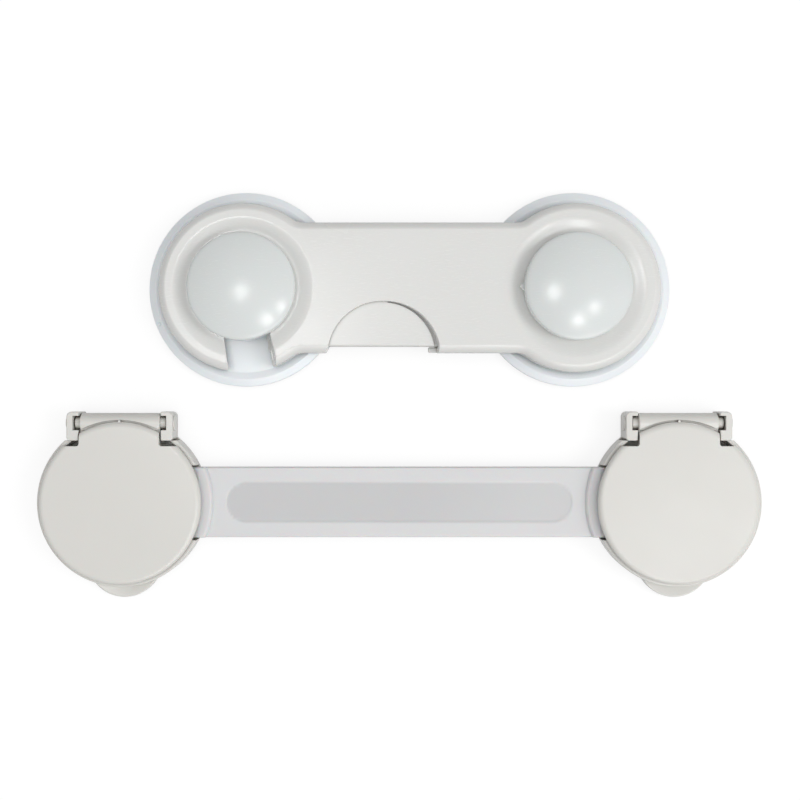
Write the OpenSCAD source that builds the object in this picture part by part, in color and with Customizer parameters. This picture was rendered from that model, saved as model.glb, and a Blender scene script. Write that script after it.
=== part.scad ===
// Set of two cabinet safety locks on one plane: a rigid bar lock and a flexible strap lock.
// Millimetres, +Z out of the furniture, origin at the centre of the outline at the adhesive plane.

/* [Layout] */
// Distance between the bar lock's axis and the strap lock's axis
axis_gap = 62.3; // [58:0.1:80]
// Sideways place of the bar lock's middle
bar_shift = 3; // [-8:0.5:8]
// Thickness of every foam adhesive pad
pad_t = 1; // [0.5:0.1:2]
// How far a pad stays inside the edge of its base
pad_margin = 1.5; // [0.5:0.1:3]

/* [Bar lock bases] */
// Distance between the two posts
base_spacing = 96.2; // [90:0.1:120]
// Radius of a round base
base_r = 28.5; // [26:0.1:32]
// Thickness of a base's floor
base_t = 2.2; // [1.8:0.1:3]
// Height of the thin raised rim above the floor
base_rim_h = 0.5; // [0.3:0.1:0.7]
// Width of the thin raised rim
base_rim_w = 1.3; // [0.8:0.1:2]
// Radius of the post that the bar turns on or hooks round
post_r = 5; // [4.6:0.1:5.2]
// Height of the fillet at the foot of a post
post_foot_h = 0.8; // [0.4:0.1:0.9]
// Width of the fillet at the foot of a post
post_foot_w = 1; // [0.4:0.1:1.1]

/* [Knobs] */
// Radius of a knob
knob_r = 15.4; // [13:0.1:16]
// Height of a knob's upright edge
knob_skirt_h = 3; // [2:0.1:4]
// Rise of a knob's dome above its edge
knob_dome_h = 2.8; // [1.5:0.1:4]
// Rounding where the dome meets the edge
knob_edge_r = 0.8; // [0.4:0.1:1.2]
// Wall of a knob
knob_wall = 1.8; // [1.4:0.1:2.2]
// Gap between a knob and the top of the bar
knob_gap = 0.3; // [0.2:0.05:0.5]
// Radius of the spigot under a knob
spigot_r = 3; // [2.6:0.1:3.3]
// Length of the spigot under a knob
spigot_l = 3; // [2:0.1:4]
// Radius of a knob screw's shank
screw_r = 1.3; // [1:0.1:1.5]
// Radius of a knob screw's head
screw_head_r = 2.8; // [2.4:0.1:3.4]
// Height of a knob screw's head
screw_head_h = 1; // [0.8:0.1:1.2]

/* [Bar] */
// Radius of each ring end
ring_r = 24.4; // [23.5:0.1:26]
// Width of the straight bar
bar_w = 37.6; // [35:0.1:38]
// Height of the bar
bar_h = 6.3; // [6:0.1:7.5]
// Gap between the bar and the raised rims of the bases
bar_lift = 0.4; // [0.3:0.05:0.8]
// Rounding of the bar's upper edge
bar_edge_r = 1.9; // [1.2:0.1:2.2]
// Concave rounding where a ring meets the bar
bar_fillet_r = 5; // [3:0.5:8]
// Thickness of the bar's side walls
bar_wall = 1.6; // [1.3:0.1:1.8]
// Thickness of the bar's face
face_t = 1.5; // [1.3:0.1:1.7]
// Outer radius of the sloped dish round a knob
dish_r = 18.5; // [17.5:0.1:19]
// Inner radius of the sloped dish round a knob
dish_floor_r = 16.3; // [14:0.1:16.5]
// Depth of the dish
dish_depth = 1.5; // [1:0.1:1.6]
// Thickness of the dish's floor
dish_t = 1.5; // [1.2:0.1:1.6]
// Wall of the collar round the turning post
collar_wall = 2; // [1.5:0.1:3]
// Radial clearance of the post in the collar
post_clearance = 0.08; // [0.04:0.01:0.1]
// Thickness of the plate that closes the bar's back
back_t = 1.4; // [1.2:0.1:1.5]
// Clearance round the back plate
back_clearance = 0.12; // [0.08:0.01:0.3]

/* [Hook] */
// Clearance on each side of the post in the hook
hook_clearance = 1.2; // [0.8:0.1:1.5]
// Thickness of the wall along the hook's mouth
mouth_wall = 1.5; // [1.2:0.1:1.7]

/* [Release button] */
// How far the button sits to the hook's side of the bar's middle
button_shift = 8; // [5:0.1:10]
// Radius of the half-round window in the bar's face
window_r = 15.6; // [14:0.1:16]
// How far the window's centre lies outside the bar's edge
window_out = 0.8; // [0:0.1:1.5]
// How far the button's flat front sits inside the bar's edge
button_inset = 1.9; // [1.7:0.1:2.5]
// Hidden flange of the button under the face
button_flange = 1.5; // [1:0.1:1.8]
// Thickness of the button's plate
button_t = 1.6; // [1.2:0.1:1.6]
// Thickness of the button's walls
button_wall = 1.4; // [1:0.1:1.6]
// Clearance of the button under the face and over the back plate
button_clearance = 0.2; // [0.15:0.05:0.25]

/* [Latch] */
// Thickness of the latch lever
lever_t = 1.5; // [1.2:0.1:1.5]
// Width of the latch lever's arms
lever_w = 3; // [2.5:0.1:3.2]
// Radius of the hub of the latch lever
lever_hub_r = 2.6; // [2.3:0.1:2.8]
// Radius of the lever's pin
pin_r = 1.2; // [1:0.1:1.3]
// Radial clearance of the lever on its pin
pin_clearance = 0.06; // [0.04:0.01:0.1]
// Play of the lever between the back plate and the dish
lever_play = 0.15; // [0.1:0.05:0.15]
// Gap between the latch nose and the post's path
nose_gap = 0.35; // [0.3:0.05:0.5]
// Radius of the return spring's coil at the middle of its wire
spring_r = 1.25; // [1.1:0.05:1.25]
// Diameter of the return spring's wire
spring_wire = 0.44; // [0.3:0.02:0.5]
// Turns of the return spring
spring_turns = 8; // [6:1:9]
// Free length of the return spring in the bar
spring_l = 11; // [9:0.5:12]

/* [Back plate screws] */
// Radius of a back plate screw's shank
small_screw_r = 1; // [0.8:0.1:1.1]
// Radius of a back plate screw's head
small_head_r = 2.1; // [1.8:0.1:2.2]
// Height of a back plate screw's head
small_head_h = 0.7; // [0.5:0.1:0.8]
// Radius of the bosses that take the back plate screws
boss_r = 2.3; // [2.1:0.1:2.4]

/* [Strap lock heads] */
// Distance between the centres of the two heads
head_spacing = 161.6; // [150:0.1:220]
// Radius of a head's base
head_r = 24.4; // [23.5:0.1:27]
// Thickness of a head's floor
head_floor_t = 1.6; // [1.2:0.1:1.8]
// Height of the rim wall above the floor
head_wall_h = 4.6; // [4.4:0.1:6]
// Thickness of the rim wall
head_wall_t = 1.5; // [1.2:0.1:2]
// Dark gap between the rim wall and the lid
lid_gap = 0.5; // [0.3:0.05:0.8]
// How far a lid stays inside the edge of its base
lid_inset = 1; // [0.6:0.1:1.4]
// Thickness of a lid
lid_t = 1.7; // [1.5:0.1:2.2]
// Rounding of a lid's upper edge
lid_edge_r = 0.7; // [0.3:0.1:0.9]
// How far the hinge axis lies inside the edge of the base
hinge_inset = 1.2; // [1:0.1:1.6]
// Radius of the hinge barrel
barrel_r = 2.9; // [2.4:0.1:2.9]
// Length of the hinge barrel
barrel_l = 23; // [18:0.1:24]
// Radius of the pin stubs at the barrel's ends
stub_r = 1.85; // [1.5:0.05:2]
// Length of a pin stub
stub_l = 1.7; // [1.2:0.1:2]
// Radial clearance of a stub in its ear
stub_clearance = 0.08; // [0.04:0.01:0.1]
// Gap between the barrel's end and an ear
ear_gap = 0.35; // [0.25:0.05:0.5]
// Width of a hinge ear
ear_w = 3.5; // [3.1:0.1:4]
// How far an ear reaches in front of the hinge axis
ear_front = 5.1; // [4:0.1:5.1]
// How far an ear reaches behind the hinge axis
ear_back = 3.7; // [3.4:0.1:4.5]
// Gap between the ears and the notches of the lid
notch_gap = 1.2; // [0.8:0.05:1.4]
// How far the thumb tab reaches past the base
tab_reach = 3.7; // [2.5:0.1:5]
// Radius of the thumb tab's round outline
tab_r = 11; // [8:0.5:12]

/* [Lid latch] */
// Width of the tongue that holds the lid shut
tongue_w = 8; // [6:0.5:9]
// Thickness of the tongue
tongue_t = 1.2; // [1:0.1:1.4]
// Length of the tongue below the lid
tongue_l = 3.4; // [2.6:0.1:3.6]
// Gap between the tongue and the rim wall
tongue_gap = 0.4; // [0.35:0.05:0.6]
// Height of the window in the rim wall for the tongue's nose
nose_window_h = 1.2; // [0.8:0.1:1.4]

/* [Strap] */
// Width of the strap
strap_w = 20.6; // [16:0.1:22]
// Thickness of the strap
strap_t = 2; // [1.6:0.1:2]
// Rounding along the strap's edges
strap_edge = 0.4; // [0.2:0.05:0.5]
// Length of the sunken panel
panel_l = 101; // [60:1:104]
// Width of the sunken panel
panel_w = 11.6; // [8:0.1:14]
// Depth of the sunken panel on each face
panel_depth = 0.4; // [0.2:0.05:0.6]
// Radius of the round eye at each end of the strap
eye_r = 14; // [12:0.1:14.5]
// Radius of the boss that the eye sits on
boss_big_r = 4; // [3:0.1:5]
// Clearance of the eye on its boss
eye_clearance = 0.3; // [0.2:0.05:0.5]
// Height of the arched ridge on the strap outside each lid
ridge_h = 1.1; // [0.6:0.1:1.4]
// Width of the arched ridge
ridge_w = 1.6; // [1:0.1:2]

/* [Hidden] */
// One overrun for every cut, and the play of a part that is screwed or pressed home
over = 1;
seat_play = 0.05;
round_fn = 96;
small_fn = 32;
arc_fn = 180;

// Where the two locks lie, with the outline centred on the origin
head_reach = head_r + tab_reach;
set_depth = base_r + axis_gap + head_reach;
lock_y = set_depth / 2 - base_r;
strap_y = head_reach - set_depth / 2;
pivot_x = bar_shift + base_spacing / 2;
catch_x = bar_shift - base_spacing / 2;

// Levels of the bar lock, from the adhesive plane up
base_top = pad_t + base_t;
bar_z = base_top + base_rim_h + bar_lift;
bar_top = bar_z + bar_h;
face_z = bar_top - face_t;
dish_z = bar_top - dish_depth;
dish_under = dish_z - dish_t;
back_top = bar_z + back_t;
knob_z = bar_top + knob_gap;
knob_top = knob_z + knob_skirt_h + knob_dome_h;
dome_sphere_r = (pow(knob_r, 2) + pow(knob_dome_h, 2)) / (2 * knob_dome_h);
screw_tip_gap = 0.6;
spigot_gap = 0.2;
// Length and width of the cross recess in a screw's head, as shares of the head's radius
cross_shares = [1.2, 0.28];

// Plan of the bar, with the turning post at x = 0 and the hook at x = -base_spacing
half_w = bar_w / 2;
fillet_x = sqrt(pow(ring_r + bar_fillet_r, 2) - pow(half_w + bar_fillet_r, 2));
fillet_a = atan2(half_w + bar_fillet_r, fillet_x);
slot_half = post_r + hook_clearance;
slot_a = 22;

// Button, with its round centre on the window's
button_x = -base_spacing / 2 - button_shift;
window_y = -half_w - window_out;
button_front = button_inset - half_w;
button_r = window_r + button_flange;
front_half = sqrt(pow(window_r, 2) - pow(window_out + button_inset, 2)) - seat_play;
button_top = face_z - button_clearance;
button_z = back_top + button_clearance;
guide_t = 1.2;
guide_gap = 0.3;
guide_l_share = 0.5;
peg_gap = 0.15;
peg_r = spring_r - spring_wire / 2 - peg_gap;
peg_l = 1.5;
spring_z = (back_top + face_z) / 2;
spring_y0 = window_y + button_r;
seat_t = 1.6;
seat_w = 8;

// Latch lever: its pin, where the button pushes it, and its nose
lever_z = back_top + lever_play;
lever_pin_shares = [0.664, -0.205];
lever_pin_x = ring_r * lever_pin_shares[0] - base_spacing;
lever_pin_y = ring_r * lever_pin_shares[1];
nose_drop = 11.5;
push_dx = 14;
push_x = lever_pin_x + push_dx;
push_gap = 0.3;
push_r = lever_w / 2;
push_reach = sqrt(pow(button_r + push_gap + push_r, 2) - pow(push_x - button_x, 2));
push_y = window_y + push_reach;
nose_y = lever_pin_y - nose_drop;
nose_half = 1.2;
nose_path_r = base_spacing - post_r - nose_gap;
nose_x = -sqrt(pow(nose_path_r, 2) - pow(nose_y - nose_half, 2));
nose_window_w = 9;
pin_seat = 1.1;

// Bosses of the back plate screws, in the bar's plan
rim_mid_r = (ring_r - bar_wall + dish_r) / 2;
boss_shares = [1.9, -0.64];
boss_hole_share = 0.85;
screw_share = 0.8;
boss_spots = [[button_x + window_r * boss_shares[0], 0, 0],
              [button_x + window_r * boss_shares[1], half_w / 2, 0],
              [-base_spacing - rim_mid_r * cos(45), rim_mid_r * sin(45), 0]];

// Levels and places of the strap lock's heads
lid_r = head_r - lid_inset;
hinge_out = head_r - hinge_inset;
head_top = pad_t + head_floor_t;
head_wall_top = head_top + head_wall_h;
lid_z = head_wall_top + lid_gap;
lid_top = lid_z + lid_t;
hinge_z = head_top + barrel_r + ear_gap;
ear_in = barrel_l / 2 + ear_gap;
ear_out = ear_in + ear_w;
ear_top = hinge_z + barrel_r;
socket_l = stub_l - ear_gap + seat_play;
notch_y = hinge_out - ear_front - notch_gap;
strap_z = head_top + eye_clearance;
strap_top = strap_z + strap_t;
hold_gap = 0.3;
hold_wall = 1.5;
exit_half = strap_w / 2 + eye_clearance * 2;
lip_h = 0.6;
lip_w = 1.2;
tongue_y = -(head_r - head_wall_t - tongue_gap);
nose_clear = 0.2;
nose_reach = tongue_gap - nose_clear;
nose_z = lid_z - tongue_l + nose_clear;
nose_h = nose_window_h - 2 * nose_clear;
snap_share = 0.85;
ridge_r = head_r + ear_gap;

// Outline of the bar's plan, drawn in by a given amount all round: the far half, then its mirror image
function arc(cx, cy, r, a0, a1, n, first = 0, last = 0) = [for (i = [first:n - last])
    let(a = a0 + (a1 - a0) * i / n) [cx + r * cos(a), cy + r * sin(a)]];
function half_outline(inset) = let(fy = half_w + bar_fillet_r, fr = bar_fillet_r + inset, r = ring_r - inset)
    concat(arc(0, 0, r, 0, 180 - fillet_a, 15),
        arc(-fillet_x, fy, fr, -fillet_a, -90, 3, first = 1),
        arc(fillet_x - base_spacing, fy, fr, -90, fillet_a - 180, 3, last = 1),
        arc(-base_spacing, 0, r, fillet_a, 180, 15));
function bar_outline(inset) = let(h = half_outline(inset), m = len(h) - 1)
    concat(h, [for (i = [m - 1:-1:1]) [h[i][0], -h[i][1]]]);

// Solid skin of the bar with a rounded upper edge, as rings of points joined by triangles.
// Its two flat ends are strips across the bar, from each point to its mirror image.
module bar_skin() {
    steps = 4;
    levels = concat([[0, bar_z]],
        [for (k = [0:steps]) let(a = 90 * k / steps)
            [bar_edge_r * (1 - cos(a)), bar_top - bar_edge_r * (1 - sin(a))]]);
    rings = [for (l = levels) [for (p = bar_outline(l[0])) [p[0], p[1], l[1]]]];
    n = len(rings[0]);
    last = (len(rings) - 1) * n;
    sides = [for (k = [0:len(rings) - 2]) for (i = [0:n - 1]) let(j = (i + 1) % n)
        each [[k * n + i, (k + 1) * n + j, k * n + j], [k * n + i, (k + 1) * n + i, (k + 1) * n + j]]];
    strips = concat([[0, 1, n - 1]],
        [for (i = [1:n / 2 - 2]) each [[i, i + 1, n - i - 1], [i, n - i - 1, n - i]]],
        [[n / 2 - 1, n / 2, n / 2 + 1]]);
    polyhedron(points = [for (r = rings) each r],
        faces = concat(sides, strips, [for (s = strips) [last + s[2], last + s[1], last + s[0]]]));
}

// Upright disc, and a slimmer upright rod, from a level z
module disc(z, h, r) {
    translate([0, 0, z]) cylinder(h = h, r = r, $fn = round_fn);
}

module rod(z, h, r) {
    translate([0, 0, z]) cylinder(h = h, r = r, $fn = small_fn);
}

// Rod along X about a centre at [0, y, z]
module cross_rod(y, z, l, r, fn = small_fn) {
    translate([0, y, z]) rotate([0, 90, 0]) cylinder(h = l, r = r, center = true, $fn = fn);
}

// Block with its X middle at x
module block(x, y, z, w, d, h) {
    translate([x - w / 2, y, z]) cube([w, d, h]);
}

// Cross recess in the underside of a screw's head at level z
module cross_recess(z, head_r, depth) {
    recess_l = head_r * cross_shares[0];
    recess_w = head_r * cross_shares[1];
    for (a = [0, 90]) rotate([0, 0, a])
        translate([-recess_l / 2, -recess_w / 2, z - over]) cube([recess_l, recess_w, over + depth]);
}

// Ring sector about the turning post, which the post's path follows on its way out of the hook
module path_band(half, z0, z1) {
    rotate([0, 0, 180]) translate([0, 0, z0]) rotate_extrude(angle = slot_a, $fn = arc_fn)
        translate([base_spacing - half, 0]) square([2 * half, z1 - z0]);
}

module at_bar() {
    translate([pivot_x, lock_y, 0]) children();
}

module at_hook() {
    translate([-base_spacing, 0, 0]) children();
}

module at_head(side) {
    translate([side * head_spacing / 2, strap_y, 0]) mirror([side > 0 ? 1 : 0, 0, 0]) children();
}

module foam_disc(r) {
    color([0.93, 0.93, 0.92]) disc(0, pad_t, r - pad_margin);
}

// Round base with a thin raised rim and the post that the bar goes round
module lock_base() {
    socket_z = knob_z - spigot_l - spigot_gap;
    color([0.84, 0.87, 0.88]) difference() {
        union() {
            disc(pad_t, base_t, base_r);
            difference() {
                disc(base_top, base_rim_h, base_r);
                disc(base_top, base_rim_h + over, base_r - base_rim_w);
            }
            disc(base_top, knob_z - base_top, post_r);
            translate([0, 0, base_top])
                cylinder(h = post_foot_h, r1 = post_r + post_foot_w, r2 = post_r, $fn = round_fn);
        }
        rod(pad_t - over, screw_head_h + seat_play + over, screw_head_r + seat_play);
        rod(pad_t, knob_z, screw_r + seat_play);
        rod(socket_z, knob_z, spigot_r + seat_play);
    }
}

// Domed cap with a hollow underside, a boss that rests on the post and a spigot in its socket
module lock_knob() {
    edge_z = knob_z + knob_skirt_h;
    hollow_h = knob_skirt_h - knob_wall / 2;
    dome_a = asin((knob_r - knob_edge_r) / dome_sphere_r);
    dome_steps = 10;
    dome = [for (i = [0:dome_steps]) let(a = dome_a * i / dome_steps)
        [dome_sphere_r * sin(a), knob_top - dome_sphere_r * (1 - cos(a))]];
    color([0.86, 0.87, 0.86]) difference() {
        union() {
            rotate_extrude($fn = round_fn)
                polygon(concat([[0, knob_z]], dome, [[knob_r, edge_z - knob_edge_r / 2], [knob_r, knob_z]]));
            rod(knob_z - spigot_l, spigot_l + over, spigot_r);
        }
        difference() {
            disc(knob_z - over, hollow_h + over, knob_r - knob_wall);
            disc(knob_z - 2 * over, hollow_h + 3 * over, post_r);
        }
        rod(knob_z - spigot_l - over, spigot_l + over + knob_skirt_h - screw_tip_gap, screw_r + seat_play);
    }
}

// Pan head screw driven up through the base into the knob, with a cross recess
module knob_screw() {
    tip = knob_z + knob_skirt_h - 2 * screw_tip_gap;
    color([0.72, 0.72, 0.74]) difference() {
        union() {
            rod(pad_t, screw_head_h, screw_head_r);
            rod(pad_t, tip - pad_t, screw_r);
        }
        cross_recess(pad_t, screw_head_r, screw_head_h / 2);
    }
}

// Floor of the dish round a knob and the wall that carries it from the face
module dish_body() {
    disc(dish_under, bar_top - dish_under - face_t / 2, dish_r + mouth_wall);
}

module dish_cut() {
    slope = (dish_r - dish_floor_r) / dish_depth;
    translate([0, 0, dish_z])
        cylinder(h = dish_depth + over, r1 = dish_floor_r, r2 = dish_r + slope * over, $fn = round_fn);
}

// Walls, bosses and guides inside the bar, from the face down
module arm_inside() {
    inner_h = face_z - back_top + seat_play;
    dish_body();
    at_hook() dish_body();
    disc(back_top, dish_z - back_top, post_r + collar_wall);
    intersection() {
        at_hook() disc(bar_z, face_z - bar_z, ring_r - bar_wall / 2);
        path_band(slot_half + mouth_wall, bar_z - over, bar_top);
    }
    at_hook() disc(bar_z, dish_z - bar_z, slot_half + mouth_wall);
    for (p = boss_spots) translate(p) rod(back_top, inner_h, boss_r);
    for (s = [-1, 1])
        block(button_x + s * (button_r + guide_gap + guide_t / 2), button_front, back_top,
            guide_t, button_r * guide_l_share, inner_h);
    block(button_x, spring_y0 + spring_l, back_top, seat_w, seat_t, inner_h);
    translate([button_x, spring_y0 + spring_l + seat_play, spring_z]) rotate([90, 0, 0])
        cylinder(h = peg_l, r = peg_r, $fn = small_fn);
}

// Hollow bar: skin, dishes, collar, hook, screw bosses, button guides and spring seat
module arm_shell() {
    at_bar() color([0.88, 0.87, 0.86]) difference() {
        union() {
            difference() {
                bar_skin();
                translate([0, 0, bar_z - over])
                    linear_extrude(face_z - bar_z + over) polygon(bar_outline(bar_wall));
            }
            arm_inside();
        }
        dish_cut();
        at_hook() dish_cut();
        disc(0, bar_top + over, post_r + post_clearance);
        at_hook() disc(0, bar_top + over, slot_half);
        path_band(slot_half, bar_z - over, bar_top + over);
        // Window for the button, and the open front below it
        translate([button_x, window_y, 0]) disc(face_z - over, face_t + 2 * over, window_r);
        block(button_x, -half_w - over, bar_z - over, 2 * front_half, over + button_inset, bar_h + 2 * over);
        // Window in the hook's wall for the latch nose
        translate([nose_x + seat_play, nose_y - nose_window_w / 2, back_top])
            cube([mouth_wall * 2, nose_window_w, lever_t + 2 * lever_play]);
        translate([lever_pin_x, lever_pin_y, 0])
            rod(dish_under - over, over + pin_seat + seat_play, pin_r + seat_play);
        for (p = boss_spots) translate(p)
            rod(back_top - over, over + (face_z - back_top) * boss_hole_share, small_screw_r + seat_play);
    }
}

// Plate that closes the back of the bar between its walls
module arm_back_plate() {
    cut_z = bar_z - over;
    cut_h = back_t + 2 * over;
    at_bar() color([0.8, 0.8, 0.79]) difference() {
        translate([0, 0, bar_z]) linear_extrude(back_t) polygon(bar_outline(bar_wall + back_clearance));
        disc(cut_z, cut_h, post_r + 4 * back_clearance);
        at_hook() disc(cut_z, cut_h, slot_half + mouth_wall + back_clearance);
        path_band(slot_half + mouth_wall + back_clearance, cut_z, cut_z + cut_h);
        block(button_x, -half_w - over, cut_z, 2 * front_half, over + button_inset, cut_h);
        translate([lever_pin_x, lever_pin_y, 0]) rod(cut_z, cut_h, pin_r + seat_play);
        for (p = boss_spots) translate(p) {
            rod(cut_z, cut_h, small_screw_r + seat_play);
            rod(cut_z, over + small_head_h + seat_play, small_head_r + seat_play);
        }
    }
}

module arm_screws() {
    at_bar() color([0.72, 0.72, 0.74]) for (p = boss_spots) translate(p) difference() {
        union() {
            rod(bar_z, small_head_h, small_head_r);
            rod(bar_z, back_t + (face_z - back_top) * screw_share, small_screw_r);
        }
        cross_recess(bar_z, small_head_r, small_head_h / 2);
    }
}

// D-shaped cup that slides into the bar, with a peg for the spring
module release_button() {
    at_bar() color([0.89, 0.89, 0.88]) difference() {
        union() {
            intersection() {
                translate([button_x, window_y, 0]) disc(button_z, button_top - button_z, button_r);
                block(button_x, button_front, 0, 2 * (button_r + over), button_r + over, bar_top);
            }
            translate([button_x, spring_y0 - button_wall / 2, spring_z]) rotate([-90, 0, 0])
                cylinder(h = peg_l + button_wall / 2, r = peg_r, $fn = small_fn);
        }
        intersection() {
            translate([button_x, window_y, 0])
                disc(button_z - over, button_top - button_t - button_z + over, button_r - button_wall);
            block(button_x, button_front + button_wall, 0, 2 * (button_r + over), button_r + over, bar_top);
        }
    }
}

// Bell crank: the button turns it by its long arm, and its nose stands in the hook's mouth
module latch_lever() {
    nose_dx = nose_x - lever_pin_x;
    nose_dy = nose_y - lever_pin_y;
    push_dy = push_y - lever_pin_y;
    at_bar() color([0.8, 0.82, 0.84]) translate([lever_pin_x, lever_pin_y, 0]) difference() {
        union() {
            rod(lever_z, lever_t, lever_hub_r);
            translate([push_dx, push_dy, 0]) rod(lever_z, lever_t, push_r);
            translate([0, 0, lever_z]) linear_extrude(lever_t) {
                polygon([[0, -push_r], [push_dx, push_dy - push_r], [push_dx, push_dy + push_r],
                    [0, push_r]]);
                polygon([[-push_r, 0], [nose_dx, nose_dy + nose_half], [nose_dx, nose_dy - nose_half],
                    [nose_dx + nose_half, nose_dy - nose_half], [push_r, -push_r]]);
            }
        }
        rod(lever_z - over, lever_t + 2 * over, pin_r + pin_clearance);
    }
}

module lever_pin() {
    at_bar() color([0.72, 0.72, 0.74]) translate([lever_pin_x, lever_pin_y, 0])
        rod(bar_z, dish_under + pin_seat - bar_z, pin_r);
}

// Return coil of the button, one unbroken wire of six-sided section
module latch_spring() {
    per_turn = 10;
    sides = 6;
    lead = spring_wire / 2 + seat_play;
    run = spring_l - 2 * lead;
    n = spring_turns * per_turn;
    pts = [for (i = [0:n]) for (k = [0:sides - 1])
        let(a = 360 * i / per_turn, b = 360 * k / sides, r = spring_r + spring_wire / 2 * cos(b))
        [r * cos(a), lead + run * i / n + spring_wire / 2 * sin(b), r * sin(a)]];
    skin = [for (i = [0:n - 1]) for (k = [0:sides - 1]) let(m = (k + 1) % sides, p = i * sides, q = p + sides)
        each [[p + k, q + k, q + m], [p + k, q + m, p + m]]];
    at_bar() color([0.72, 0.72, 0.74]) translate([button_x, spring_y0, spring_z])
        polyhedron(points = pts, faces = concat(skin, [[for (k = [0:sides - 1]) k]],
            [[for (k = [sides - 1:-1:0]) n * sides + k]]));
}

// Rim wall of a head, open for the hinge and for the strap
module head_wall() {
    wall_h = head_wall_h + over;
    ear_d = ear_front + ear_back;
    difference() {
        disc(pad_t, head_wall_top - pad_t, head_r);
        disc(head_top, wall_h, head_r - head_wall_t);
        block(0, hinge_out - ear_front, head_top, 2 * (ear_out + over), ear_d, wall_h);
        translate([0, -exit_half, head_top]) cube([head_r + over, 2 * exit_half, wall_h]);
    }
}

// Socket for a stub of the lid, open at the top by a narrower slot that it snaps through
module stub_socket() {
    l = socket_l + over;
    translate([ear_in + (socket_l - over) / 2, 0, 0]) {
        cross_rod(hinge_out, hinge_z, l, stub_r + stub_clearance);
        block(0, hinge_out - stub_r * snap_share, hinge_z, l, 2 * stub_r * snap_share, barrel_r + over);
    }
}

// Base of a head: floor, rim wall, ears, boss and thumb tab with a low upturned lip
module head_base() {
    ear_d = ear_front + ear_back;
    color([0.86, 0.86, 0.85]) difference() {
        union() {
            disc(pad_t, head_floor_t, head_r);
            head_wall();
            for (s = [-1, 1])
                block(s * (ear_in + ear_w / 2), hinge_out - ear_front, pad_t, ear_w, ear_d, ear_top - pad_t);
            block(0, hinge_out - ear_front, pad_t, 2 * ear_out, ear_d, head_floor_t);
            disc(head_top, head_wall_h, boss_big_r);
            difference() {
                translate([0, tab_r - head_reach, 0]) disc(pad_t, head_floor_t + lip_h, tab_r);
                translate([0, tab_r - head_reach, 0]) disc(head_top, lip_h + over, tab_r - lip_w);
                disc(head_top, lip_h + over, head_r - head_wall_t);
            }
        }
        rod(head_top + head_floor_t, head_wall_h, boss_big_r / 2);
        stub_socket();
        mirror([1, 0, 0]) stub_socket();
        // Window for the nose of the lid's tongue
        block(0, -head_r - over, nose_z - nose_clear, tongue_w + 2 * tongue_gap, head_wall_t * 2 + over,
            nose_window_h);
    }
}

// Flip lid: round plate notched for the ears, barrel, stubs, hold-down ring and snap tongue
module head_lid() {
    edge_steps = 3;
    edge = [for (i = [0:edge_steps]) let(a = 90 * i / edge_steps)
        [lid_r - lid_edge_r * (1 - cos(a)), lid_top - lid_edge_r * (1 - sin(a))]];
    hold_z = strap_top + hold_gap;
    color([0.85, 0.84, 0.82]) union() {
        difference() {
            rotate_extrude($fn = round_fn) polygon(concat([[0, lid_top], [0, lid_z], [lid_r, lid_z]], edge));
            for (s = [-1, 1])
                block(s * (barrel_l / 2 + lid_r / 2), notch_y, lid_z - over, lid_r, lid_r, lid_t + 2 * over);
        }
        cross_rod(hinge_out, hinge_z, barrel_l, barrel_r, round_fn);
        cross_rod(hinge_out, hinge_z, barrel_l + 2 * stub_l, stub_r);
        block(0, hinge_out - barrel_r, hinge_z, barrel_l, barrel_r, lid_z - hinge_z + seat_play);
        difference() {
            disc(hold_z, lid_z - hold_z + seat_play, eye_r);
            disc(hold_z - over, lid_z - hold_z + over, eye_r - hold_wall);
        }
        block(0, tongue_y, lid_z - tongue_l, tongue_w, tongue_t, tongue_l + seat_play);
        block(0, tongue_y - nose_reach, nose_z, tongue_w, nose_reach + tongue_t / 2, nose_h);
    }
}

// Long band of the strap with its edges taken off
module strap_band() {
    w = strap_w / 2;
    e = strap_edge;
    rotate([90, 0, 90]) translate([0, 0, -head_spacing / 2]) linear_extrude(head_spacing)
        polygon([[e - w, strap_z], [w - e, strap_z], [w, strap_z + e], [w, strap_top - e],
            [w - e, strap_top], [e - w, strap_top], [-w, strap_top - e], [-w, strap_z + e]]);
}

// Arched ridge across the strap, just outside the rim of the left head
module strap_ridge() {
    arch_half = asin(strap_w / 2 / (ridge_r + ridge_w));
    translate([0, 0, strap_top - seat_play]) rotate([0, 0, -arch_half])
        rotate_extrude(angle = 2 * arch_half, $fn = arc_fn)
            translate([ridge_r, 0]) square([ridge_w, ridge_h + seat_play]);
}

// Flexible strap: band with a sunken panel, round eyes over the bosses and arched ridges at the lids
module strap() {
    panel_run = panel_l - panel_w;
    cut_h = panel_depth + over;
    color([0.83, 0.84, 0.84]) translate([0, strap_y, 0]) difference() {
        union() {
            strap_band();
            for (s = [0, 1]) mirror([s, 0, 0]) translate([-head_spacing / 2, 0, 0]) {
                disc(strap_z, strap_t, eye_r);
                strap_ridge();
            }
        }
        for (s = [-1, 1]) translate([s * head_spacing / 2, 0, 0])
            disc(strap_z - over, strap_t + 2 * over, boss_big_r + eye_clearance);
        for (z = [strap_z - over, strap_top - panel_depth]) {
            block(0, -panel_w / 2, z, panel_run, panel_w, cut_h);
            for (s = [-1, 1]) translate([s * panel_run / 2, 0, 0]) disc(z, cut_h, panel_w / 2);
        }
    }
}

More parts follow.
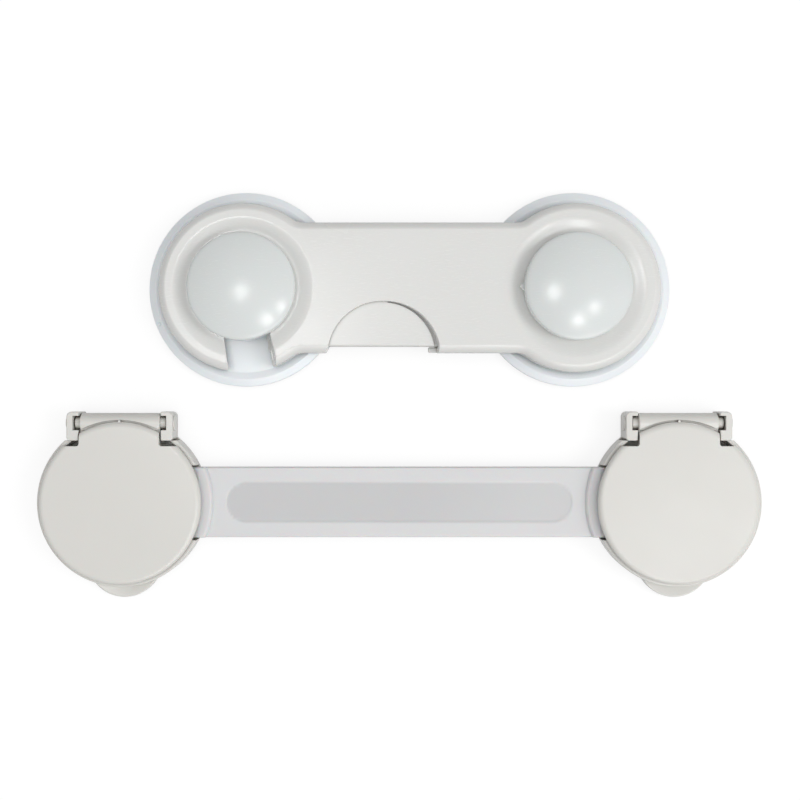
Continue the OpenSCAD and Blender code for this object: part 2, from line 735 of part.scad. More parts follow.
translate([catch_x, lock_y, 0]) foam_disc(base_r);  // catch_pad
translate([catch_x, lock_y, 0]) lock_base();  // catch_base
translate([catch_x, lock_y, 0]) lock_knob();  // catch_knob
translate([catch_x, lock_y, 0]) knob_screw();  // catch_screw
translate([pivot_x, lock_y, 0]) foam_disc(base_r);  // pivot_pad
translate([pivot_x, lock_y, 0]) lock_base();  // pivot_base
translate([pivot_x, lock_y, 0]) lock_knob();  // pivot_knob
translate([pivot_x, lock_y, 0]) knob_screw();  // pivot_screw
arm_shell();
arm_back_plate();
arm_screws();
release_button();
latch_lever();
lever_pin();
latch_spring();
at_head(-1) foam_disc(head_r);  // left_pad
at_head(-1) head_base();  // left_base
at_head(-1) head_lid();  // left_lid
at_head(1) foam_disc(head_r);  // right_pad
at_head(1) head_base();  // right_base
at_head(1) head_lid();  // right_lid
strap();
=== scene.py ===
# Cabinet safety lock set, seen from straight above: the rigid bar lock over the flexible strap lock.
# Meshes are modelled in millimetres and turned into metres when a piece is placed.
import math
import bmesh
import bpy
from mathutils import Matrix, Vector


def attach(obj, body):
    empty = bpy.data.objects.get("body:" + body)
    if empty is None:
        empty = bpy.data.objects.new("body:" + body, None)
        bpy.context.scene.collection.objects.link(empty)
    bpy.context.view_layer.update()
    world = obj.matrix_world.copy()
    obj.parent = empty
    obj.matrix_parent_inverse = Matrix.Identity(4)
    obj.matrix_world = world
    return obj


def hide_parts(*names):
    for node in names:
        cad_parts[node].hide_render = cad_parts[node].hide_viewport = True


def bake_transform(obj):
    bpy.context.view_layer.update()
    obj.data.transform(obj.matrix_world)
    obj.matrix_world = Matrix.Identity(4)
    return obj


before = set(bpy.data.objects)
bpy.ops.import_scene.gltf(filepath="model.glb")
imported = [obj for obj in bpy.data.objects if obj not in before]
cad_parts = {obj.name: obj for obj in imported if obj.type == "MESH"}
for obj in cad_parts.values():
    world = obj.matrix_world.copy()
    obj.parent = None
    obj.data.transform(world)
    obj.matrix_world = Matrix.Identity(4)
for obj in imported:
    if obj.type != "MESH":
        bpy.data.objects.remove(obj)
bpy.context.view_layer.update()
mm = 0.001
tiny = 1e-6  # anything smaller counts as nothing
over = 1.0  # how far a cutter reaches past what it cuts
lap = 0.1  # how far a welded piece is sunk into its neighbour
clear = 0.02  # keeps two faces out of one plane
tall = 20.0  # a height above every piece
wide = 30.0  # a distance beyond every head and lid

setOut = {
    "pivotX": 51.1,  # turning post
    "catchX": -45.1,  # catch post
    "barY": 30.95,
    "headX": 80.8,  # either head, the left one at minus this
    "strapY": -31.35,
}


# Mesh making

def addObject(name, data):
    obj = bpy.data.objects.new(name, data)
    bpy.context.scene.collection.objects.link(obj)
    return obj


def solid(name, bm):
    bmesh.ops.recalc_face_normals(bm, faces=bm.faces)
    mesh = bpy.data.meshes.new(name)
    bm.to_mesh(mesh)
    bm.free()
    return addObject(name, mesh)


def arcPoints(cx, cy, radius, start, end, count):
    turns = [start + (end - start) * k / count for k in range(count + 1)]
    return [(cx + radius * math.cos(t), cy + radius * math.sin(t)) for t in turns]


def raised(outline, z):
    return [(x, y, z) for x, y in outline]


# Closed outline of (x, y, radius) corners, each one rounded by its radius
def soften(corners, parts=4):
    out = []
    for i, (x, y, radius) in enumerate(corners):
        if not radius:
            out.append((x, y))
            continue
        here = Vector((x, y))
        back = (Vector(corners[i - 1][:2]) - here).normalized()
        ahead = (Vector(corners[(i + 1) % len(corners)][:2]) - here).normalized()
        half = back.angle(ahead) / 2
        centre = here + (back + ahead).normalized() * radius / math.sin(half)
        first = here + back * radius / math.tan(half) - centre
        last = here + ahead * radius / math.tan(half) - centre
        start = math.atan2(first.y, first.x)
        sweep = math.remainder(math.atan2(last.y, last.x) - start, 2 * math.pi)
        out += arcPoints(centre.x, centre.y, radius, start, start + sweep, parts)
    return out


# Turned piece from a closed profile of (radius, height), about an upright axis
def lathe(name, profile, at=(0, 0), steps=128):
    bm = bmesh.new()
    turns = [2 * math.pi * k / steps for k in range(steps)]
    rings = []
    for r, z in profile:
        around = turns[:1] if r < tiny else turns
        rings.append([bm.verts.new((at[0] + r * math.cos(t), at[1] + r * math.sin(t), z)) for t in around])
    for a, b in zip(rings, rings[1:] + rings[:1]):
        if len(a) == len(b) == 1:
            continue
        for k in range(steps):
            j = (k + 1) % steps
            corners = [a[k % len(a)], a[j % len(a)], b[j % len(b)], b[k % len(b)]]
            bm.faces.new(list(dict.fromkeys(corners)))
    return solid(name, bm)


# Skin through rings of the same count of points, closed by a face at each end
def loft(name, rings):
    bm = bmesh.new()
    rows = [[bm.verts.new(p) for p in ring] for ring in rings]
    count = len(rows[0])
    for low, high in zip(rows, rows[1:]):
        for k in range(count):
            j = (k + 1) % count
            bm.faces.new((low[k], low[j], high[j], high[k]))
    bm.faces.new(rows[0])
    bm.faces.new(rows[-1])
    return solid(name, bm)


# Outline drawn in by a depth; its corners are rounded by at least that depth
def drawnIn(outline, depth):
    area = sum(a[0] * b[1] - a[1] * b[0] for a, b in zip(outline, outline[1:] + outline[:1]))
    turn = math.copysign(depth, area)
    out = []
    for i, point in enumerate(outline):
        here = Vector(point)
        back = (here - Vector(outline[i - 1])).normalized()
        ahead = (Vector(outline[(i + 1) % len(outline)]) - here).normalized()
        along = (back + ahead).normalized()
        out.append(tuple(here + Vector((-along.y, along.x)) * turn / along.dot(ahead)))
    return out


# How far in the side stands at each height, with the lower and upper edges rounded
def roundedLevels(low, high, edge, parts):
    if not edge:
        return [(0, low), (0, high)]
    turns = [math.pi / 2 * k / parts for k in range(parts + 1)]
    foot = [(edge * (1 - math.sin(a)), low + edge * (1 - math.cos(a))) for a in turns]
    return foot + [(depth, low + high - z) for depth, z in reversed(foot)]


# Upright prism with its upper and lower edges rounded
def prism(name, outline, low, high, edge=0.0, parts=3):
    return loft(name, [raised(drawnIn(outline, depth) if depth > tiny else outline, z)
                       for depth, z in roundedLevels(low, high, edge, parts)])


def block(name, low, high, edge=0.0, parts=2):
    bm = bmesh.new()
    bmesh.ops.create_cube(bm, size=1)
    for v in bm.verts:
        v.co = [low[k] if v.co[k] < 0 else high[k] for k in range(3)]
    if edge:
        bmesh.ops.bevel(bm, geom=bm.edges[:], offset=edge, segments=parts, profile=0.5, affect="EDGES")
    return solid(name, bm)


# Round bar along X with rounded ends
def crossBar(name, y, z, length, radius, edge, steps=64):
    half = length / 2
    profile = soften([(0, -half, 0), (radius, -half, edge), (radius, half, edge), (0, half, 0)], 3)
    rod = lathe(name, profile, steps=steps)
    rod.data.transform(Matrix.Translation((0, y, z)) @ Matrix.Rotation(math.pi / 2, 4, "Y"))
    return rod


# Plain post for cutting or joining
def post(name, at, radius, low, high, steps=64):
    return lathe(name, [(0, low), (radius, low), (radius, high), (0, high)], at, steps)


def freeze(obj):
    graph = bpy.context.evaluated_depsgraph_get()
    mesh = bpy.data.meshes.new_from_object(obj.evaluated_get(graph))
    obj.modifiers.clear()
    obj.data = mesh


def combine(target, operation, tools):
    for tool in tools:
        step = target.modifiers.new(operation, "BOOLEAN")
        step.operation, step.solver, step.object = operation, "MANIFOLD", tool
        freeze(target)
        bpy.data.objects.remove(tool)
    return target


def carve(target, *tools):
    return combine(target, "DIFFERENCE", tools)


def weld(target, *tools):
    return combine(target, "UNION", tools)


# Moves a piece from its own millimetres to its place in metres; side -1 gives the mirror image
def place(obj, x, y, side=1):
    obj.data.transform(Matrix.Translation((x, y, 0)) @ Matrix.Diagonal((side, 1, 1, 1)))
    if side < 0:
        obj.data.flip_normals()
    obj.data.transform(Matrix.Scale(mm, 4))
    return obj


sharpFrom = math.radians(34)  # edges that turn by more than this stay sharp


# Shading, material and body of a finished piece; the CAD node that it stands for is hidden
def finish(obj, body, look, node, steady=True):
    obj.data.shade_smooth()
    obj.data.set_sharp_from_angle(angle=sharpFrom)
    if steady:
        flat = obj.modifiers.new("steadyNormals", "WEIGHTED_NORMAL")
        flat.keep_sharp = True
        flat.weight = 100
    obj.data.materials.clear()
    obj.data.materials.append(materials[look])
    if body:
        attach(obj, body)
    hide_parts(node)
    return obj


# Shader groups that the materials share

def link(start, end):
    start.id_data.links.new(start, end)


def newGroup(name, inputs, outputs):
    tree = bpy.data.node_groups.new(name, "ShaderNodeTree")
    for label, value in inputs:
        socket = tree.interface.new_socket(name=label, in_out="INPUT", socket_type="NodeSocketFloat")
        socket.default_value = value
    for label in outputs:
        tree.interface.new_socket(name=label, in_out="OUTPUT", socket_type="NodeSocketFloat")
    return tree, tree.nodes.new("NodeGroupInput"), tree.nodes.new("NodeGroupOutput")


def addNode(tree, kind, **settings):
    node = tree.nodes.new("ShaderNode" + kind)
    for key, value in settings.items():
        if hasattr(node, key) and key not in node.inputs:
            setattr(node, key, value)
        else:
            node.inputs[key].default_value = value
    return node


def mathNode(tree, operation, a, b, clamp=False):
    node = addNode(tree, "Math", operation=operation, use_clamp=clamp)
    for k, value in enumerate((a, b)):
        if isinstance(value, (int, float)):
            node.inputs[k].default_value = value
        else:
            link(value, node.inputs[k])
    return node.outputs[0]


def makeMouldGrain():
    tree, inside, out = newGroup("mouldGrain", [("Scale", 2600), ("Waviness", 0.35)], ["Height", "Tone"])
    where = addNode(tree, "TexCoord").outputs["Object"]
    fine = addNode(tree, "TexNoise", Detail=3.0, Roughness=0.6)
    broad = addNode(tree, "TexNoise", Scale=55.0, Detail=2.0)
    for noise in (fine, broad):
        link(where, noise.inputs["Vector"])
    link(inside.outputs["Scale"], fine.inputs["Scale"])
    wave = mathNode(tree, "MULTIPLY", broad.outputs[0], inside.outputs["Waviness"])
    link(mathNode(tree, "ADD", fine.outputs[0], wave), out.inputs["Height"])
    link(broad.outputs[0], out.inputs["Tone"])
    return tree


hairlines = {
    "turns": (0.5, 2.1),  # the two ways in which the lines run, in radians
    "stretch": 14,
    "from": 0.62,  # noise above this starts to show as a line
    "to": 0.72,
    "patchScale": 90.0,
}


def makeHandlingMarks():
    tree, inside, out = newGroup("handlingMarks", [("Scale", 420), ("Amount", 0.5)], ["Mask"])
    where = addNode(tree, "TexCoord").outputs["Object"]
    masks = []
    for turn in hairlines["turns"]:
        lay = addNode(tree, "Mapping", Rotation=(0, 0, turn), Scale=(1, hairlines["stretch"], 1))
        link(where, lay.inputs["Vector"])
        hair = addNode(tree, "TexNoise", Detail=2.0)
        link(lay.outputs[0], hair.inputs["Vector"])
        link(inside.outputs["Scale"], hair.inputs["Scale"])
        cut = addNode(tree, "MapRange")
        cut.inputs["From Min"].default_value = hairlines["from"]
        cut.inputs["From Max"].default_value = hairlines["to"]
        link(hair.outputs[0], cut.inputs["Value"])
        masks.append(cut.outputs[0])
    patch = addNode(tree, "TexNoise", Scale=hairlines["patchScale"], Detail=1.0)
    link(where, patch.inputs["Vector"])
    both = mathNode(tree, "MAXIMUM", masks[0], masks[1])
    worn = mathNode(tree, "MULTIPLY", both, patch.outputs[0])
    link(mathNode(tree, "MULTIPLY", worn, inside.outputs["Amount"], True), out.inputs["Mask"])
    return tree


# Painted shade: an ambient occlusion mask that darkens the colour in crevices, gaps and under overhangs,
# where shade falls
def makePaintedCreviceShade():
    tree, inside, out = newGroup("paintedCreviceShade", [("Reach", 0.0015), ("Amount", 0.3)], ["Mask"])
    shade = addNode(tree, "AmbientOcclusion", samples=6)
    link(inside.outputs["Reach"], shade.inputs["Distance"])
    closed = mathNode(tree, "SUBTRACT", 1.0, shade.outputs["AO"])
    deep = mathNode(tree, "MULTIPLY", closed, closed)
    link(mathNode(tree, "MULTIPLY", deep, inside.outputs["Amount"], True), out.inputs["Mask"])
    return tree


groups = {"grain": makeMouldGrain(), "marks": makeHandlingMarks(), "paintedShade": makePaintedCreviceShade()}
print("shader groups made:", ", ".join(sorted(groups)))


# A part of a colour as it shows on screen, 0 to 255, in the linear value that a shader takes
def linear(shown):
    share = shown / 255
    return share / 12.92 if shown <= 10 else ((share + 0.055) / 1.055) ** 2.4


def tone(*shown):
    return tuple(linear(v) for v in shown) + (1.0,)


def placeGroup(tree, key, **values):
    return addNode(tree, "Group", node_tree=groups[key], **values)


firstColour, secondColour, mixedColour = 6, 7, 2  # the sockets of a Mix node that carry colours


def mixColours(tree, mask, first, second):
    node = addNode(tree, "Mix", data_type="RGBA")
    link(mask, node.inputs["Factor"])
    for socket, value in ((node.inputs[firstColour], first), (node.inputs[secondColour], second)):
        if isinstance(value, tuple):
            socket.default_value = value
        else:
            link(value, socket)
    return node.outputs[mixedColour]


# One moulded or drawn finish: two close tones, grain, hairline marks and painted shade in the crevices
def makeFinish(name, look):
    material = bpy.data.materials.new(name)
    material.use_nodes = True
    tree = material.node_tree
    surface = tree.nodes["Principled BSDF"]
    for label, value in look["surface"].items():
        surface.inputs[label].default_value = value
    grain = placeGroup(tree, "grain", Scale=look["grainScale"], Waviness=look["waviness"])
    marks = placeGroup(tree, "marks", Scale=look["markScale"], Amount=look["marks"])
    paintedShade = placeGroup(tree, "paintedShade", Reach=look["paintedShadeReach"], Amount=look["paintedShade"])
    colour = mixColours(tree, grain.outputs["Tone"], tone(*look["colour"]), tone(*look["colourB"]))
    if "panelColour" in look:
        # the panel's own darker tone, lightened towards the right as painted light by the mask
        panel = addNode(tree, "Attribute", attribute_name="panelToneAndPaintedLight")
        colour = mixColours(tree, panel.outputs["Fac"], colour, tone(*look["panelColour"]))
    # painted shade: the colour darkens towards the shade colour where the occlusion mask finds close
    # surfaces
    colour = mixColours(tree, paintedShade.outputs["Mask"], colour, tone(*look["paintedShadeColour"]))
    link(colour, surface.inputs["Base Color"])
    swing = mathNode(tree, "MULTIPLY", grain.outputs["Tone"], look["roughSwing"])
    rough = mathNode(tree, "ADD", mathNode(tree, "ADD", swing, look["rough"]), marks.outputs["Mask"], True)
    link(rough, surface.inputs["Roughness"])
    bump = addNode(tree, "Bump", Strength=look["bump"], Distance=look["bumpDepth"])
    height = mathNode(tree, "SUBTRACT", grain.outputs["Height"], marks.outputs["Mask"])
    link(height, bump.inputs["Height"])
    link(bump.outputs[0], surface.inputs["Normal"])
    return material


common = {"markScale": 420, "paintedShadeReach": 0.0015}  # where a finish gives no value of its own
# Each finish darkens its crevices by painted shade: a shade colour, an amount and a reach
finishes = {
    # the bar's painted shade darkens the gaps round the button and a thin ring round each knob's foot
    "barPlastic": {
        "slot": "warm_white_plastic", "colour": (228, 228, 226), "colourB": (224, 224, 221),
        "paintedShadeColour": (142, 138, 128), "paintedShade": 1.3, "paintedShadeReach": 0.0009,
        "rough": 0.2, "roughSwing": 0.1, "marks": 0.12, "grainScale": 2600, "waviness": 0.5,
        "bump": 0.25, "bumpDepth": 0.00003,
        "surface": {"IOR": 1.5, "Subsurface Weight": 0.06, "Subsurface Scale": 0.0008},
    },
    # the lid's painted shade darkens the gap under the lid's edge
    "lidPlastic": {
        "slot": "warm_white_plastic", "colour": (222, 221, 216), "colourB": (218, 216, 211),
        "paintedShadeColour": (136, 132, 124), "paintedShade": 1.4, "paintedShadeReach": 0.0012,
        "rough": 0.26, "roughSwing": 0.1, "marks": 0.22, "grainScale": 2400, "waviness": 0.5,
        "bump": 0.25, "bumpDepth": 0.00003,
        "surface": {"IOR": 1.5, "Subsurface Weight": 0.06, "Subsurface Scale": 0.0008},
    },
    "knobPlastic": {
        "slot": "cool_white_plastic", "colour": (222, 226, 225), "colourB": (218, 222, 221),
        "paintedShadeColour": (150, 150, 146), "paintedShade": 0.8,
        "rough": 0.19, "roughSwing": 0.08, "marks": 0.15, "grainScale": 3200, "waviness": 0.3,
        "bump": 0.12, "bumpDepth": 0.00002,
        "surface": {"IOR": 1.5, "Subsurface Weight": 0.1, "Subsurface Scale": 0.001},
    },
    # the base's wide reach paints a soft shadow along the ring's foot and under the bar
    "basePlastic": {
        "slot": "cool_white_plastic", "colour": (242, 246, 249), "colourB": (238, 243, 247),
        "paintedShadeColour": (146, 150, 150), "paintedShade": 1.5, "paintedShadeReach": 0.0024,
        "rough": 0.26, "roughSwing": 0.08, "marks": 0.15, "grainScale": 3000, "waviness": 0.3,
        "bump": 0.12, "bumpDepth": 0.00002,
        "surface": {"IOR": 1.5, "Specular IOR Level": 0.35, "Subsurface Weight": 0.15,
                    "Subsurface Scale": 0.0015},
    },
    "strapPlastic": {
        "slot": "frosted_strap", "colour": (221, 221, 222), "colourB": (217, 217, 218),
        "panelColour": (202, 202, 203), "paintedShadeColour": (160, 160, 158), "paintedShade": 0.5,
        "rough": 0.34, "roughSwing": 0.12, "marks": 0.2, "grainScale": 1800, "waviness": 0.7,
        "bump": 0.35, "bumpDepth": 0.00004,
        "surface": {"IOR": 1.48, "Subsurface Weight": 0.3, "Subsurface Scale": 0.002},
    },
    "padFoam": {
        "slot": "foam_pad", "colour": (238, 238, 236), "colourB": (228, 228, 224),
        "paintedShadeColour": (196, 192, 182), "paintedShade": 0.4,
        "rough": 0.85, "roughSwing": 0.1, "marks": 0.0, "grainScale": 5200, "waviness": 0.2,
        "bump": 0.9, "bumpDepth": 0.00012,
        "surface": {"IOR": 1.4},
    },
    "innerPlastic": {
        "colour": (206, 206, 203), "colourB": (200, 200, 196),
        "paintedShadeColour": (160, 156, 146), "paintedShade": 0.4,
        "rough": 0.5, "roughSwing": 0.1, "marks": 0.15, "grainScale": 2000, "waviness": 0.4,
        "bump": 0.4, "bumpDepth": 0.00005,
        "surface": {"IOR": 1.5},
    },
    "zincSteel": {
        "slot": "steel", "colour": (196, 197, 201), "colourB": (182, 184, 190),
        "paintedShadeColour": (120, 116, 108), "paintedShade": 0.5,
        "rough": 0.26, "roughSwing": 0.16, "marks": 0.4, "markScale": 900, "grainScale": 4200,
        "waviness": 0.3, "bump": 0.3, "bumpDepth": 0.00003,
        "surface": {"Metallic": 1.0},
    },
}
materials = {name: makeFinish(name, {**common, **look}) for name, look in finishes.items()}
print("materials made:", len(materials))

keptNodes = {
    "zincSteel": ("catch_screw", "pivot_screw", "arm_screws", "lever_pin"),
    "innerPlastic": ("arm_back_plate", "latch_lever"),
}
for look, nodes in keptNodes.items():
    for node in nodes:
        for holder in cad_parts[node].material_slots:
            holder.material = materials[look]


# Bases and knobs of the bar lock

base = {
    "radius": 28.5, "bottom": 1.0, "floor": 3.2,
    "rimTop": 3.7, "rimSlope": 2.1, "rimSide": 2.6, "rimInner": 4.1,
    "postRadius": 5.0, "postTop": 10.7, "footHeight": 0.8, "footWidth": 1.0,
    "socketRadius": 3.05, "socketFloor": 7.5, "screwRadius": 1.35, "headRadius": 2.85, "headTop": 2.05,
    # scar on the left base's rim, where the plastic was fed in: x, y, width and depth under the rim's top
    "gateMark": (-25.4, -10.2, 1.1, 0.75),
}
knob = {
    "radius": 15.4, "bottom": 10.7, "shoulder": 13.7, "shoulderDrop": 0.1, "top": 16.5, "edge": 0.8,
    "wall": 1.8, "hollowTop": 12.8, "spigotRadius": 3.0, "spigotBottom": 7.7, "screwTop": 13.1,
    "nibRoot": 0.9, "nibReach": 1.3, "nibHalf": 1.3, "nibHeight": 0.9, "nibEdge": 0.12,
    "domeParts": 24,
}
foam = {
    "thick": 1.0, "inset": 0.45, "bulge": 0.25, "bulgeLow": 0.12, "bulgeRise": 0.76, "parts": 8,
    "baseRadius": 27.0, "headRadius": 22.9,
}


def makeBase(name):
    b = base
    crest, inner = b["radius"] - b["rimSlope"], b["radius"] - b["rimInner"]
    profile = soften([
        (b["headRadius"], b["bottom"], 0), (b["radius"], b["bottom"], 0.35),
        (b["radius"], b["rimSide"], 0.35), (crest, b["rimTop"], 0.45), (inner, b["floor"], 0.9),
        (b["postRadius"] + b["footWidth"], b["floor"], 0.4),
        (b["postRadius"], b["floor"] + b["footHeight"], 0.5), (b["postRadius"], b["postTop"], 0.2),
        (b["socketRadius"], b["postTop"], 0.15), (b["socketRadius"], b["socketFloor"], 0),
        (b["screwRadius"], b["socketFloor"], 0), (b["screwRadius"], b["headTop"], 0),
        (b["headRadius"], b["headTop"], 0)])
    return lathe(name, profile, steps=192)


def makeGateScar():
    x, y, width, depth = base["gateMark"]
    return post("gateScar", (x, y), width / 2, base["rimTop"] - depth, base["rimTop"] + over, 12)


def makeKnob(name, turning):
    k, b = knob, base
    rise = k["top"] - k["shoulder"]
    bowl = (k["radius"] ** 2 + rise ** 2) / (2 * rise)
    spread = math.asin((k["radius"] - k["edge"]) / bowl)
    turns = [spread * i / k["domeParts"] for i in range(k["domeParts"] + 1)]
    dome = [(bowl * math.sin(t), k["top"] - bowl * (1 - math.cos(t))) for t in turns]
    inner = k["radius"] - k["wall"]
    rest = soften([
        dome[-1] + (0,), (k["radius"], k["shoulder"] - k["shoulderDrop"], 0.75),
        (k["radius"], k["bottom"], 0.25), (inner, k["bottom"], 0.25), (inner, k["hollowTop"], 0.4),
        (b["postRadius"], k["hollowTop"], 0.2), (b["postRadius"], k["bottom"], 0),
        (k["spigotRadius"], k["bottom"], 0), (k["spigotRadius"], k["spigotBottom"], 0.3),
        (b["screwRadius"], k["spigotBottom"], 0.1), (b["screwRadius"], k["screwTop"], 0),
        (0, k["screwTop"], 0)])
    body = lathe(name, dome + rest[1:], steps=192)
    if turning:  # small pointer at the knob's foot
        half, foot = k["nibHalf"], -k["radius"]
        root, tip = foot + k["nibRoot"], foot - k["nibReach"]
        outline = soften([(root, half, 0), (foot, half, 0.2), (tip, 0, 0.25), (foot, -half, 0.2),
                          (root, -half, 0)])
        low, high = k["bottom"] + clear, k["bottom"] + k["nibHeight"]
        weld(body, prism("nib", outline, low, high, k["nibEdge"], 2))
    return body


# Foam disc whose edge stands out a little, because it is pressed
def makePad(name, radius):
    f = foam
    edge = []
    for t in range(f["parts"] + 1):
        out = f["bulge"] * math.sin(math.pi * t / f["parts"])
        edge.append((radius - f["bulge"] + out, f["bulgeLow"] + f["bulgeRise"] * t / f["parts"]))
    flat = radius - f["inset"]
    return lathe(name, [(0, 0), (flat, 0)] + edge + [(flat, f["thick"]), (0, f["thick"])], steps=160)


for spot, x, turning in (("catch", setOut["catchX"], False), ("pivot", setOut["pivotX"], True)):
    y = setOut["barY"]
    basePiece = makeBase(spot + "Base")
    if not turning:
        carve(basePiece, makeGateScar())
    finish(place(basePiece, x, y), "mounting", "basePlastic", spot + "_base")
    finish(place(makeKnob(spot + "Knob", turning), x, y), "mounting", "knobPlastic", spot + "_knob")
    pad = makePad(spot + "Pad", foam["baseRadius"])
    finish(place(pad, x, y), "mounting", "padFoam", spot + "_pad")
print("bases, knobs and pads of the bar lock made")


# Bar: a hollow moulding with a dish round each knob, the hook's mouth and the button's window

bar = {
    "spacing": 96.2, "ringRadius": 24.4, "halfWidth": 18.8, "fillet": 5.0, "bottom": 4.1, "top": 10.4,
    "edgeWide": 2.3, "edgeHigh": 1.9, "edgeFlat": 0.1, "edgeParts": 9, "footEdge": 0.25, "footMid": 0.07,
    "wall": 1.6, "faceUnder": 8.9, "plateTop": 5.5,
    "dishFloor": 9.5, "dishInner": 16.0, "dishOuter": 20.6, "dishUnder": 7.4, "dishBody": 20.0,
    "dishLip": 0.75, "dishParts": 14,
    "boreRadius": 5.08, "collarWall": 2.0, "hookRadius": 6.2, "mouthWall": 1.5,
    "mouthTurn": 22,  # degrees of the post's path that the mouth follows
    "mouthOpen": 1.3,  # how much wider the mouth is at its outer end
    "mouthOpenFrom": 0.3,  # share of the mouth's length that keeps its width
    "tipRadius": 1.0,
    "mouthNear": (-0.9, 1.1),  # how far the near wall stands back at its foot and at the face
    "mouthFar": (0.9, 0.0),  # the same for the far wall, which leans over the mouth
    # the mouth's upper edge: depth under the face, share of the way to the face's value, flare
    "mouthLip": ((0.35, 0.95, 0), (0.12, 1, 0.08), (-0.01, 1, 0.35), (-over, 1, 0.4)),
    "bossRadius": 2.3, "bossHole": 1.05, "bossHoleTop": 8.4,
    "bosses": ((-26.46, 0.0), (-66.08, 9.4), (-110.8, 14.6)),
    "seatHalf": 4, "seatFront": 8.5, "seatBack": 10.1,  # what the return spring stands against
}
window = {
    "x": -56.1, "y": -19.6, "radius": 15.6, "front": -16.9, "halfFront": 15.3,
    "draft": 1.3, "draftPower": 1.3,  # the right side leans outwards by the draft, the left side doesn't
    "draftLow": 0.6,  # share of the draft at the face's underside
    "lip": ((0.3, 0.9, 0), (0.1, 0.95, 0.06), (-0.01, 1, 0.25), (-over, 1, 0.3)),  # depth, draft, flare
    "slant": 1.7,  # the left end of the open front runs outwards
    "frontLow": 1.2, "frontPlay": 0.1,  # where the open front starts to lean, and by how much less
    "flange": 1.5,  # how far the button reaches under the face
    "guideThick": 1.2, "guideGap": 0.3, "guideLength": 8.55, "guideFoot": 0.07,
    # what is left of the side wall under the button's right end
    "sillIn": 1.9, "sillOut": 1.0, "sillFront": -18.65, "sillBack": -17.05, "sillTop": 4.9, "sillEdge": 0.4,
}
lever = {
    "noseFrom": (-90.4, -21.0), "noseTo": (-87.4, -12.0), "noseHeight": 1.8,  # window in the mouth's wall
    "pinAt": (-80.0, -5.0), "pinRadius": 1.25, "pinDepth": 1.15,
}
hookAt = (-bar["spacing"], 0)
mouthIn, mouthOut = bar["spacing"] - bar["hookRadius"], bar["spacing"] + bar["hookRadius"]


def barOutline(inset):
    b = bar
    fy, fr, r = b["halfWidth"] + b["fillet"], b["fillet"] + inset, b["ringRadius"] - inset
    fx = math.sqrt((b["ringRadius"] + b["fillet"]) ** 2 - fy ** 2)
    turn = math.atan2(fy, fx)
    half = (arcPoints(0, 0, r, 0, math.pi - turn, 56)
            + arcPoints(-fx, fy, fr, -turn, -math.pi / 2, 9)[1:]
            + arcPoints(fx - b["spacing"], fy, fr, -math.pi / 2, turn - math.pi, 9)[:-1]
            + arcPoints(-b["spacing"], 0, r, turn, math.pi, 56))
    return half + [(x, -y) for x, y in reversed(half[1:-1])]


# Sector about the turning post: the way that the catch post takes out of the hook. Its far wall opens
# outwards and turns away at the ring's edge, which rounds the tip of the hook.
def mouthOutline(inner, outer, opening=0.0, tip=0.0):
    b = bar
    start, end, count = math.pi, math.radians(180 + b["mouthTurn"]), 96
    far = []
    for k in range(count + 1):
        t = start + (end - start) * k / count
        r = outer + opening * max(0.0, k / count - b["mouthOpenFrom"])
        if tip:
            past = math.hypot(r * math.cos(t) + b["spacing"], r * math.sin(t)) - (b["ringRadius"] - tip)
            bend = min(1.0, max(0.0, past / tip))
            r += tip * (1 - math.sqrt(1 - bend * bend)) + max(0.0, past - tip)
        far.append((r * math.cos(t), r * math.sin(t)))
    return far + arcPoints(0, 0, inner, end, start, count // 2)


def makeShell():
    b = bar
    low, top, mid = b["bottom"], b["top"], b["footMid"]
    levels = [(b["footEdge"], low), (mid, low + mid), (0, low + b["footEdge"])]
    for k in range(b["edgeParts"] + 1):
        a = math.pi / 2 * k / b["edgeParts"]
        flat = b["edgeFlat"] * math.sin(2 * a)  # draws the round in towards a plain slope
        inset, drop = b["edgeWide"] * (1 - math.cos(a) + flat), b["edgeHigh"] * (1 - math.sin(a) + flat)
        levels.append((inset, top - drop))
    shell = loft("barShell", [raised(barOutline(inset), z) for inset, z in levels])
    return carve(shell, prism("cavity", barOutline(b["wall"]), low - over, b["faceUnder"]))


# What stands inside the shell: the mouth's walls, dishes, collar, bosses, guides and the spring's seat
def fillShell(shell):
    b, w = bar, window
    dishTop, collarTop = b["top"] - b["dishLip"], b["dishFloor"] - 2 * lap
    under = b["faceUnder"] + lap
    mouthWalls = prism("mouthWalls", mouthOutline(mouthIn - b["mouthWall"], mouthOut + b["mouthWall"]),
                       b["bottom"], b["faceUnder"] + 3 * lap)
    within = post("within", hookAt, b["ringRadius"] - b["wall"] / 2, 0, tall, 160)
    combine(mouthWalls, "INTERSECT", [within])
    weld(shell, mouthWalls,
         post("dishA", (0, 0), b["dishBody"], b["dishUnder"], dishTop, 128),
         post("dishB", hookAt, b["dishBody"], b["dishUnder"], dishTop, 128),
         post("collar", (0, 0), b["boreRadius"] + b["collarWall"], b["plateTop"], collarTop),
         post("hookWall", hookAt, b["hookRadius"] + b["mouthWall"], b["bottom"], collarTop))
    for spot in b["bosses"]:
        weld(shell, post("boss", spot, b["bossRadius"], b["plateTop"], under, 32))
    half = w["guideThick"] / 2
    for side in (-1, 1):
        mid = w["x"] + side * (w["radius"] + w["flange"] + w["guideGap"] + half)
        weld(shell, block("guide", (mid - half, w["front"] + w["guideFoot"], b["plateTop"]),
                          (mid + half, w["front"] + w["guideLength"], under)))
    return weld(shell, block("springSeat", (w["x"] - b["seatHalf"], b["seatFront"], b["plateTop"]),
                             (w["x"] + b["seatHalf"], b["seatBack"], under)))


def smoothStep(t):
    t = min(1.0, max(0.0, t))
    return t * t * (3 - 2 * t)


